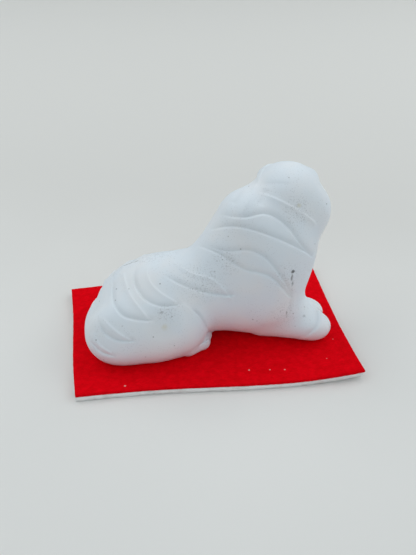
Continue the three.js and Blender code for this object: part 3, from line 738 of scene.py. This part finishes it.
class Paint(Nodes):
    def __init__(self, name):
        self.material = bpy.data.materials.new(name)
        self.material.use_nodes = True
        super().__init__(self.material.node_tree)
        self.tree.nodes.clear()
        self.shader = self.tree.nodes.new("ShaderNodeBsdfPrincipled")
        output = self.tree.nodes.new("ShaderNodeOutputMaterial")
        self.tree.links.new(self.shader.outputs["BSDF"], output.inputs["Surface"])
        place = self.add("TexCoord", {}, {}, "Object")
        # the patterns below are sized in millimetres
        self.place = self.add("VectorMath", {"operation": "SCALE"}, {0: place, "Scale": 1 / millimetre})

    def set(self, **values):
        for name, value in values.items():
            self.feed(self.shader.inputs[name.replace("_", " ")], value)

    def noise(self, size, detail=2, rough=0.5, at=None, output="Fac"):
        inputs = {"Vector": at or self.place, "Scale": 1 / size, "Detail": detail, "Roughness": rough}
        return self.add("TexNoise", {}, inputs, output)

    def between(self, value, low, high, outLow=0.0, outHigh=1.0):
        inputs = {"Value": value, 1: low, 2: high, 3: outLow, 4: outHigh}
        return self.add("MapRange", {"interpolation_type": "SMOOTHSTEP"}, inputs)

    def dots(self, size, inner, outer):
        # 1 on scattered points, falling to 0 round each; both reaches are shares of their spacing
        gap = self.add("TexVoronoi", {}, {"Vector": self.place, "Scale": 1 / size}, "Distance")
        return self.between(gap, inner, outer, 1.0, 0.0)

    def mix(self, share, first, second):
        settings = {"data_type": "RGBA", "clamp_factor": True}
        return self.add("Mix", settings, {0: share, 6: first, 7: second}, 2)

    def moved(self, operation, first, second):
        return self.add("VectorMath", {"operation": operation}, {0: first, 1: second})

    def spot(self, place, stretch, inner, outer, at=None):
        # 1 inside a stretched ball about a place, falling to 0 at its edge
        scaled = self.moved("MULTIPLY", self.moved("SUBTRACT", at or self.place, place), stretch)
        length = self.add("VectorMath", {"operation": "LENGTH"}, {0: scaled}, "Value")
        return self.between(length, inner, outer, 1.0, 0.0)

    def warped(self, size, amount):
        # the place, wandering by the amount
        centred = self.moved("SUBTRACT", self.noise(size, output="Color"), (0.5, 0.5, 0.5))
        return self.moved("ADD", self.place, self.moved("MULTIPLY", centred, (amount,) * 3))

    def bump(self, height, reach, strength, under=None):
        inputs = {"Height": height, "Distance": reach * millimetre, "Strength": strength}
        if under:
            inputs["Normal"] = under
        return self.add("Bump", {}, inputs)


ceramic = {
    "body": (0.76, 0.82, 0.875), "warm": (0.80, 0.825, 0.85), "dust": (0.36, 0.38, 0.4),
    "mark": (0.1, 0.11, 0.115), "yellow": (0.62, 0.58, 0.42), "roughness": (0.66, 0.8),
    "cloudSize": 14, "cloudEdges": (0.35, 0.7), "hollowGrey": 0.12,
    "grains": {"size": 0.8, "inner": 0.1, "outer": 0.3}, "grainDust": 0.26,
    "patchSize": 9, "patchEdges": (0.4, 0.62), "fineSize": 0.5, "fineEdges": (0.54, 0.66), "fineDust": 0.42,
    "coarse": {"size": 5.3, "inner": 0.035, "outer": 0.065}, "coarseDark": 0.5,
    "warpSize": 0.8, "warpFar": 0.9, "markEdges": (0.35, 1.25), "yellowEdges": (0.2, 1.3), "yellowShare": 0.4,
    "surfaceSize": 0.35, "surfaceDeep": 0.035, "surfaceStrength": 0.7,
    "pores": {"size": 0.9, "inner": 0.05, "outer": 0.25}, "poreDeep": 0.04, "poreStrength": 0.6,
}
# marks on the near flank: place on the lay-out sheet, radius, how dark, breadth against height
ceramicMarks = [
    ((29.1, 20.4), 0.75, 0.9, 1.0), ((28.9, 18.2), 0.5, 0.6, 0.3), ((29.3, 16), 0.42, 0.55, 0.3),
    ((29.4, 13.8), 0.36, 0.45, 0.3), ((29.1, 11.6), 0.3, 0.36, 0.4), ((28, 5.9), 0.4, 0.42, 0.3),
    ((28.2, 4.4), 0.3, 0.35, 0.6), ((34.8, 7.8), 0.35, 0.28, 0.4), ((34.6, 4.6), 0.7, 0.3, 1.6),
    ((31.3, 1), 0.3, 0.3, 1), ((-5.2, 14.6), 0.36, 0.7, 1), ((2.5, 20.5), 0.28, 0.45, 1),
    ((0.1, 23.7), 0.24, 0.3, 1), ((-12, 5.1), 0.42, 0.75, 1), ((-13.6, 5.6), 0.6, 0.4, 1.8),
    ((-15.4, 6.5), 0.9, 0.36, 2), ((-31.4, 14.4), 0.42, 0.5, 1), ((-31.5, 10.9), 0.4, 0.62, 1),
    ((-26.7, 14.6), 0.28, 0.35, 1), ((-28.7, 2), 0.3, 0.32, 1), ((-8, 15.8), 0.4, 0.3, 1.4),
]
# a dark hairline along the top edge of the rump
hairline = {
    "points": [(-33.8, 20.2), (-31.5, 21.5), (-29.1, 22.7), (-26.7, 23.6), (-24.5, 24.3)],
    "marks": 22, "radius": 0.36, "dark": 0.6,
}
for flat in throughPoints(hairline["points"], hairline["marks"]):
    ceramicMarks.append((flat, hairline["radius"], hairline["dark"], 1))
# yellowish spots: place on the sheet, radius
yellowSpots = [((-14.4, 1.5), 1.3), ((30.3, 42.2), 0.9)]
# where fine grains of dirt gather on the near flank: place on the sheet, reach
dustyPlaces = [
    ((-2, 16.5), 10), ((30, 40), 8), ((27, 5), 8), ((-19, 26), 7), ((-14, 6), 5), ((27, 19), 7), ((6, 24), 7),
]


def ceramicPaint():
    paint = Paint("bisqueCeramic")
    clouds = paint.noise(ceramic["cloudSize"], 3)
    warmer = paint.between(clouds, *ceramic["cloudEdges"])
    colour = paint.mix(warmer, ceramic["body"], ceramic["warm"])
    hollow = paint.add("Attribute", {"attribute_name": "hollow"}, {}, "Fac")
    # greyer the deeper a point lies in the carving
    colour = paint.mix(hollow * ceramic["hollowGrey"], colour, ceramic["dust"])
    # grey grains, thicker in patches, and finer ones where dirt gathers
    patches = paint.between(paint.noise(ceramic["patchSize"]), *ceramic["patchEdges"])
    grains = paint.dots(**ceramic["grains"]) * patches
    colour = paint.mix(grains * ceramic["grainDust"], colour, ceramic["dust"])
    gathered = paint.strongest([
        paint.spot(tuple(place + seat), (1 / reach,) * 3, 0.3, 1.0)
        for flat, reach in dustyPlaces for place in fromSheet([flat])
    ])
    fine = paint.between(paint.noise(ceramic["fineSize"], 2, 0.6), *ceramic["fineEdges"])
    colour = paint.mix(fine * gathered * ceramic["fineDust"], colour, ceramic["dust"])
    coarse = paint.dots(**ceramic["coarse"])
    colour = paint.mix(coarse * ceramic["coarseDark"], colour, ceramic["mark"])
    # single marks and spots, with uneven edges
    warped = paint.warped(ceramic["warpSize"], ceramic["warpFar"])
    marks = []
    for flat, radius, dark, broad in ceramicMarks:
        stretch = (1 / radius, 1 / radius, broad / radius)
        for place in fromSheet([flat]):
            marks.append(paint.spot(tuple(place + seat), stretch, *ceramic["markEdges"], warped) * dark)
    colour = paint.mix(paint.strongest(marks), colour, ceramic["mark"])
    for flat, radius in yellowSpots:
        for place in fromSheet([flat]):
            spot = paint.spot(tuple(place + seat), (1 / radius,) * 3, *ceramic["yellowEdges"], warped)
            colour = paint.mix(spot * ceramic["yellowShare"], colour, ceramic["yellow"])
    paint.set(Base_Color=colour, Roughness=paint.between(clouds, 0.2, 0.8, *ceramic["roughness"]))
    paint.set(IOR=1.5, Specular_IOR_Level=0.35)
    surface = paint.noise(ceramic["surfaceSize"], 3, 0.6)
    under = paint.bump(surface, ceramic["surfaceDeep"], ceramic["surfaceStrength"])
    pores = 1 - paint.dots(**ceramic["pores"])
    paint.set(Normal=paint.bump(pores, ceramic["poreDeep"], ceramic["poreStrength"], under))
    return paint.material


feltLook = {
    "base": (0.88, 0.0008, 0.008), "deep": (0.66, 0.0004, 0.004), "fleck": (0.75, 0.55, 0.5),
    "fibres": [(0.4, (1, 7, 2)), (1.5, (1, 8, 2)), (2.6, (1, 6, 2))],  # turn and stretch of each layer
    "fibreTilt": (0.1, 0.2), "fibreSize": 1.5, "fibreDeep": 0.14, "fibreStrength": 0.7,
    "clumpSize": 2.4, "clumpShare": 0.4, "clumpDeep": 0.16, "clumpStrength": 0.5, "napEdges": (0.4, 0.72),
    "lint": {"size": 11, "inner": 0.012, "outer": 0.026}, "lintShare": 0.5,
    # place and radius of each white fleck
    "flecks": [((10.3, -26.2), 0.42), ((17.5, -27.3), 0.36), ((22.6, -28), 0.4), ((-33, -27), 0.5)],
    "fleckShare": 0.6, "fleckEdges": (0.3, 1.1), "warpSize": 0.5, "warpFar": 0.5,
}


def feltPaint():
    paint = Paint("redFelt")
    # short fibres that lie every way: stretched noises, the strongest at each place
    layers = []
    for turn, stretch in feltLook["fibres"]:
        turned = (*feltLook["fibreTilt"], turn)
        at = paint.add("Mapping", {}, {"Vector": paint.place, "Rotation": turned, "Scale": stretch})
        layers.append(paint.noise(feltLook["fibreSize"], 3, 0.6, at))
    fibres, clumps = paint.strongest(layers), paint.noise(feltLook["clumpSize"], 3, 0.6)
    nap = fibres * (1 - feltLook["clumpShare"]) + clumps * feltLook["clumpShare"]
    colour = paint.mix(paint.between(nap, *feltLook["napEdges"]), feltLook["deep"], feltLook["base"])
    warped = paint.warped(feltLook["warpSize"], feltLook["warpFar"])
    for flat, radius in feltLook["flecks"]:
        spot = paint.spot((*flat, feltSlab["high"]), (1 / radius,) * 3, *feltLook["fleckEdges"], warped)
        colour = paint.mix(spot * feltLook["fleckShare"], colour, feltLook["fleck"])
    lint = paint.dots(**feltLook["lint"])
    colour = paint.mix(lint * feltLook["lintShare"], colour, feltLook["fleck"])
    paint.set(Base_Color=colour, Roughness=0.95, Specular_IOR_Level=0.03)
    paint.set(Sheen_Weight=0.06, Sheen_Roughness=0.6, Sheen_Tint=(1.0, 0.02, 0.03))
    under = paint.bump(clumps, feltLook["clumpDeep"], feltLook["clumpStrength"])
    paint.set(Normal=paint.bump(fibres, feltLook["fibreDeep"], feltLook["fibreStrength"], under))
    return paint.material


backingLook = {
    "base": (0.88, 0.87, 0.86), "worn": (0.74, 0.69, 0.67), "cloudSize": 3.5, "cloudEdges": (0.4, 0.75),
    "grainSize": 0.6, "grainDeep": 0.12, "grainStrength": 0.6,
}


def backingPaint():
    paint = Paint("whiteBacking")
    clouds = paint.between(paint.noise(backingLook["cloudSize"], 3), *backingLook["cloudEdges"])
    colour = paint.mix(clouds, backingLook["base"], backingLook["worn"])
    paint.set(Base_Color=colour, Roughness=0.9, Specular_IOR_Level=0.2)
    grain = paint.noise(backingLook["grainSize"], 3, 0.6)
    paint.set(Normal=paint.bump(grain, backingLook["grainDeep"], backingLook["grainStrength"]))
    return paint.material


dressed = [
    (tiger, "tiger", "tiger", ceramicPaint()), (felt, "mat_felt", "felt", feltPaint()),
    (backing, "mat_backing", "backing", backingPaint()),
]
for piece, node, slotName, material in dressed:
    piece.data.shade_smooth()
    piece.data.materials.clear()
    piece.data.materials.append(material)
    # the node that it stands for keeps the material too
    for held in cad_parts[node].material_slots:
        held.material = material
    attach(piece, "root")
    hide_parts(node)
print("materials made")

# Floor, light and camera
# the far colour and the reach toward it are painted shade
floorLook = {
    "near": (0.78, 0.775, 0.755), "far": (0.66, 0.652, 0.63), "away": (0.25, 0.97, 0),
    "shadeFrom": -10, "shadeTo": 150, "cloudSize": 90, "cloudReach": 50,
    "metresWide": 4.0, "metresHigh": -0.0001,
}


def floorPaint():
    # painted shade: a little less bright toward the back, where less light falls
    paint = Paint("paleFloor")
    ways = {0: paint.place, 1: floorLook["away"]}
    distance = paint.add("VectorMath", {"operation": "DOT_PRODUCT"}, ways, "Value")
    clouds = paint.noise(floorLook["cloudSize"]) * floorLook["cloudReach"]
    # painted shade: the near colour turns into the far one further back
    paintedShade = paint.between(distance + clouds, floorLook["shadeFrom"], floorLook["shadeTo"])
    colour = paint.mix(paintedShade, floorLook["near"], floorLook["far"])
    paint.set(Base_Color=colour, Roughness=0.85, Specular_IOR_Level=0.2)
    return paint.material


work = bmesh.new()
bmesh.ops.create_grid(work, x_segments=1, y_segments=1, size=floorLook["metresWide"] / 2)
bmesh.ops.translate(work, verts=work.verts, vec=(0, 0, floorLook["metresHigh"]))
floorMesh = bpy.data.meshes.new("floor")
work.to_mesh(floorMesh)
work.free()
floor = newPiece("floor", floorMesh)
floor.data.materials.append(floorPaint())

# a pale sky, brightest low in front, and three wide soft lights
studio = {
    "sky": (0.89, 0.96, 1.0), "skyStrength": 1.1, "backdrop": 0.62, "turnWithin": 0.15,
    "front": [(0.2, 0.02), (0.38, 1.0), (0.68, 0.95), (0.82, 0.35), (1.0, 0.15)],  # height, brightness
    "back": [(0.0, 0.2), (0.2, 0.2), (0.32, 0.01)],
    # place in metres and power of each light
    "lights": {
        "left": ((-0.5, 0.3, 0.6), 2.6), "right": ((0.5, 0.2, 0.5), 2.6), "behind": ((-0.1, 0.4, 0.7), 1.3),
    },
    "lightSize": 0.9, "lightColour": (0.95, 0.99, 1.0), "aim": (0, 0, 0.02),
}
scene.view_settings.view_transform = "Standard"


def skyWorld():
    world = bpy.data.worlds.new("softSky")
    world.use_nodes = True
    nodes = Nodes(world.node_tree)
    place = nodes.add("TexCoord", {}, {}, "Generated")
    high = nodes.add("SeparateXYZ", {}, {0: place}, "Z")
    behind = nodes.add("SeparateXYZ", {}, {0: place}, "Y")
    ramps = {}
    for side in ("front", "back"):
        stops = [(z, (brightness,) * 3) for z, brightness in studio[side]]
        ramps[side] = nodes.add("ValToRGB", {"stops": stops}, {"Fac": high}, "Color")
    turn = {"Value": behind, "From Min": -studio["turnWithin"], "From Max": studio["turnWithin"]}
    turned = nodes.add("MapRange", {}, turn, "Result")
    shining = nodes.add("Mix", {}, {"Factor": turned, "A": ramps["front"], "B": ramps["back"]}, "Result")
    # what is seen of the sky itself is an even pale grey
    seen = nodes.add("LightPath", {}, {}, "Is Camera Ray")
    both = {"Factor": seen, "A": shining * studio["skyStrength"], "B": studio["backdrop"]}
    strength = nodes.add("Mix", {}, both, "Result")
    sky = world.node_tree.nodes["Background"]
    nodes.feed(sky.inputs["Color"], studio["sky"])
    nodes.feed(sky.inputs["Strength"], strength)
    return world


scene.world = skyWorld()
for name, (place, power) in studio["lights"].items():
    data = bpy.data.lights.new(name, "AREA")
    data.shape, data.size = "DISK", studio["lightSize"]
    data.energy, data.color = power, studio["lightColour"]
    lamp = bpy.data.objects.new(name, data)
    lamp.location = place
    lamp.rotation_euler = (Vector(studio["aim"]) - Vector(place)).to_track_quat("-Z", "Y").to_euler()
    scene.collection.objects.link(lamp)

# the camera looks 35 degrees down and 9.5 to the right of straight ahead
shot = {
    "place": (-0.03475, -0.20849, 0.17335), "down": 35, "turn": -9.5, "lens": 46.7, "sensor": 36,
    "clip": (0.01, 20),
}
cameraData = bpy.data.cameras.new("camera")
cameraData.lens, cameraData.sensor_width = shot["lens"], shot["sensor"]
cameraData.clip_start, cameraData.clip_end = shot["clip"]
camera = bpy.data.objects.new("camera", cameraData)
camera.location = shot["place"]
camera.rotation_euler = (math.radians(90 - shot["down"]), 0, math.radians(shot["turn"]))
scene.collection.objects.link(camera)
scene.camera = camera
print("stage set")
